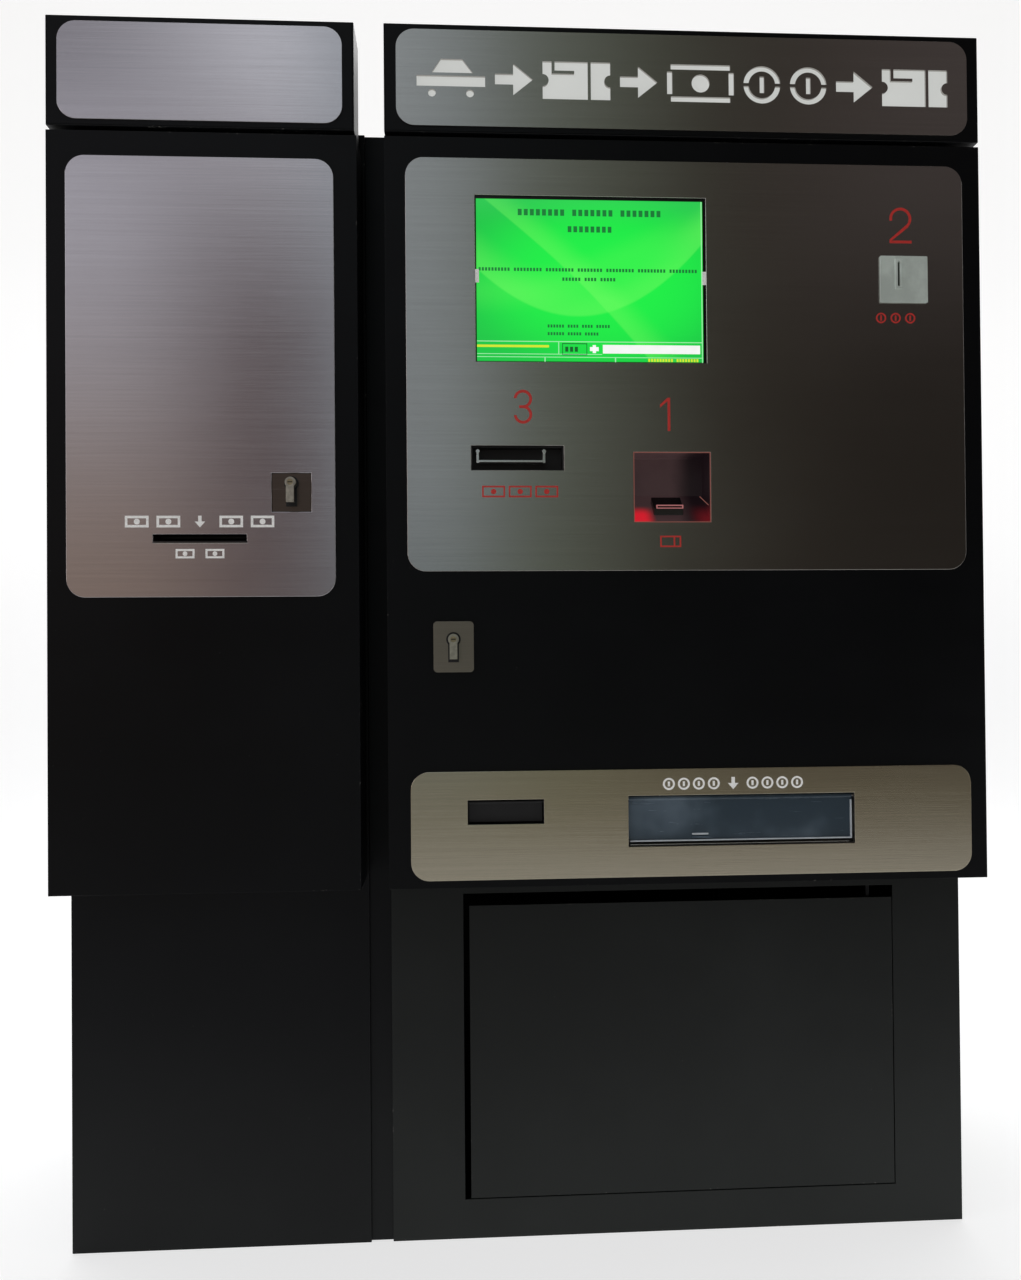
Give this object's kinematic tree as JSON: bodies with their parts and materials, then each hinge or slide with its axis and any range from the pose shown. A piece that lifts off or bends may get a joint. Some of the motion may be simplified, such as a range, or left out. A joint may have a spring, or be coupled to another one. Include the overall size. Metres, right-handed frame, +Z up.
{
  "type": "parking pay station",
  "caption": "Free-standing parking pay station: a wide pay cabinet and a narrow note-change cabinet with hinged front doors, coin cup, ticket reader and screen.",
  "frame": {"origin": "middle of the footprint at floor level, the handles at the front counted in", "axes": "+Z up, front faces -Y, +X to the right seen from the front"},
  "size_m": [1.24, 0.5, 1.64],
  "materials": {
    "black_coat": "semi-gloss black powder coat",
    "brushed_fascia": "horizontally brushed stainless steel",
    "brushed_fascia_warm": "horizontally brushed stainless steel, warmer",
    "brushed_fascia_light": "horizontally brushed stainless steel, lighter",
    "bright_steel": "fine brushed bright steel",
    "zinc_steel": "zinc plated sheet steel",
    "white_acrylic": "opal white acrylic",
    "lamp_board": "white lamp board",
    "screen": "screen glass over a lit green display",
    "unit_plastic": "moulded black-grey plastic",
    "hopper_plastic": "tough yellow-tan plastic",
    "computer_case": "black anodised aluminium",
    "cash_case": "dark red-brown moulded plastic",
    "black_plastic": "gloss black plastic",
    "cup_steel": "formed stainless steel",
    "smoked_clear": "clear smoky polycarbonate",
    "paper": "thermal paper",
    "red_film": "printed red film",
    "lock_steel": "satin steel",
    "key_brass": "nickelled brass"
  },
  "bodies": {
    "cabinet": {"pay_side_left": "black_coat", "pay_side_right": "black_coat", "pay_back_panel": "black_coat", "pay_roof": "black_coat", "pay_floor_plate": "black_coat", "pay_front_frame": "black_coat", "pay_shelf": "zinc_steel", "change_side_left": "black_coat", "change_side_right": "black_coat", "change_back_panel": "black_coat", "change_roof": "black_coat", "change_floor_plate": "black_coat", "change_front_frame": "black_coat", "filler_strip": "black_coat", "pay_header_box": "black_coat", "pay_header_fascia": "brushed_fascia", "header_diffuser": "white_acrylic", "header_lamp_board": "lamp_board", "change_header_box": "black_coat", "change_header_fascia": "brushed_fascia_light", "hinge_pins": "zinc_steel", "coin_hoppers": "hopper_plastic", "coin_vault": "zinc_steel", "control_computer": "computer_case", "power_supply": "zinc_steel", "note_dispenser": "unit_plastic"},
    "pay_door_body": {"pay_door": "black_coat", "main_fascia": "brushed_fascia", "lower_fascia": "brushed_fascia_warm", "screen_glass": "screen", "display_unit": "unit_plastic", "banknote_mouth": "black_plastic", "banknote_lip": "bright_steel", "banknote_validator": "unit_plastic", "ticket_niche": "black_plastic", "ticket_slot_mouth": "black_plastic", "ticket_reader": "unit_plastic", "coin_plate": "bright_steel", "coin_validator": "unit_plastic", "coin_chute": "zinc_steel", "payout_chute": "zinc_steel", "coin_cup": "cup_steel", "receipt_printer": "unit_plastic", "guide_numerals": "red_film", "pay_lock_plate": "lock_steel"},
    "cashbox": {"banknote_cashbox": "cash_case"},
    "cup_flap_body": {"cup_flap": "smoked_clear"},
    "receipt_flap_body": {"receipt_flap": "black_plastic"},
    "paper_roll_body": {"paper_roll": "paper"},
    "pay_lock": {"pay_lock_handle": "lock_steel"},
    "pay_key": {"pay_key_plug": "key_brass"},
    "change_door_body": {"change_door": "black_coat", "change_fascia": "brushed_fascia_light", "note_outlet": "bright_steel", "change_lock_plate": "lock_steel"},
    "change_lock": {"change_lock_handle": "lock_steel"},
    "change_key": {"change_key_plug": "key_brass"},
    "cassette": {"note_cassette": "cash_case"},
    "lower_door_body": {"lower_door": "black_coat"},
    "lower_bolt": {"lower_door_bolt": "zinc_steel"}
  },
  "joints": [
    {"name": "pay_door_hinge", "type": "hinge", "parent": "cabinet", "child": "pay_door_body", "pos_m": [0.612, -0.158, 1], "axis": [0, 0, 1], "range_deg": [0, 100]},
    {"name": "change_door_hinge", "type": "hinge", "parent": "cabinet", "child": "change_door_body", "pos_m": [-0.612, -0.158, 1], "axis": [0, 0, -1], "range_deg": [0, 100]},
    {"name": "lower_door_hinge", "type": "hinge", "parent": "cabinet", "child": "lower_door_body", "pos_m": [0.49, -0.142, 0.25], "axis": [0, 0, 1], "range_deg": [0, 100]},
    {"name": "lower_bolt_slide", "type": "slide", "parent": "lower_door_body", "child": "lower_bolt", "axis": [-1, 0, 0], "range_m": [0, 0.018]},
    {"name": "pay_lock_turn", "type": "hinge", "parent": "pay_door_body", "child": "pay_lock", "pos_m": [-0.097, -0.237, 0.83], "axis": [0, 1, 0], "range_deg": [0, 90]},
    {"name": "pay_key_turn", "type": "hinge", "parent": "pay_lock", "child": "pay_key", "pos_m": [-0.097, -0.237, 0.83], "axis": [0, 1, 0], "range_deg": [0, 90]},
    {"name": "change_lock_turn", "type": "hinge", "parent": "change_door_body", "child": "change_lock", "pos_m": [-0.3055, -0.237, 1.034], "axis": [0, -1, 0], "range_deg": [0, 90]},
    {"name": "change_key_turn", "type": "hinge", "parent": "change_lock", "child": "change_key", "pos_m": [-0.3055, -0.237, 1.034], "axis": [0, -1, 0], "range_deg": [0, 90]},
    {"name": "cup_flap_hinge", "type": "hinge", "parent": "pay_door_body", "child": "cup_flap_body", "pos_m": [0.2835, -0.228, 0.617], "axis": [1, 0, 0], "range_deg": [0, 60]},
    {"name": "receipt_flap_hinge", "type": "hinge", "parent": "pay_door_body", "child": "receipt_flap_body", "pos_m": [-0.03, -0.228, 0.6155], "axis": [-1, 0, 0], "range_deg": [0, 60]},
    {"name": "paper_roll_spin", "type": "hinge", "parent": "pay_door_body", "child": "paper_roll_body", "pos_m": [-0.03, -0.125, 0.6475], "axis": [1, 0, 0], "continuous": true},
    {"name": "cashbox_slide", "type": "slide", "parent": "pay_door_body", "child": "cashbox", "axis": [0, 1, 0], "range_m": [0, 0.1]},
    {"name": "cassette_slide", "type": "slide", "parent": "cabinet", "child": "cassette", "axis": [0, -1, 0], "range_m": [0, 0.075]}
  ]
}
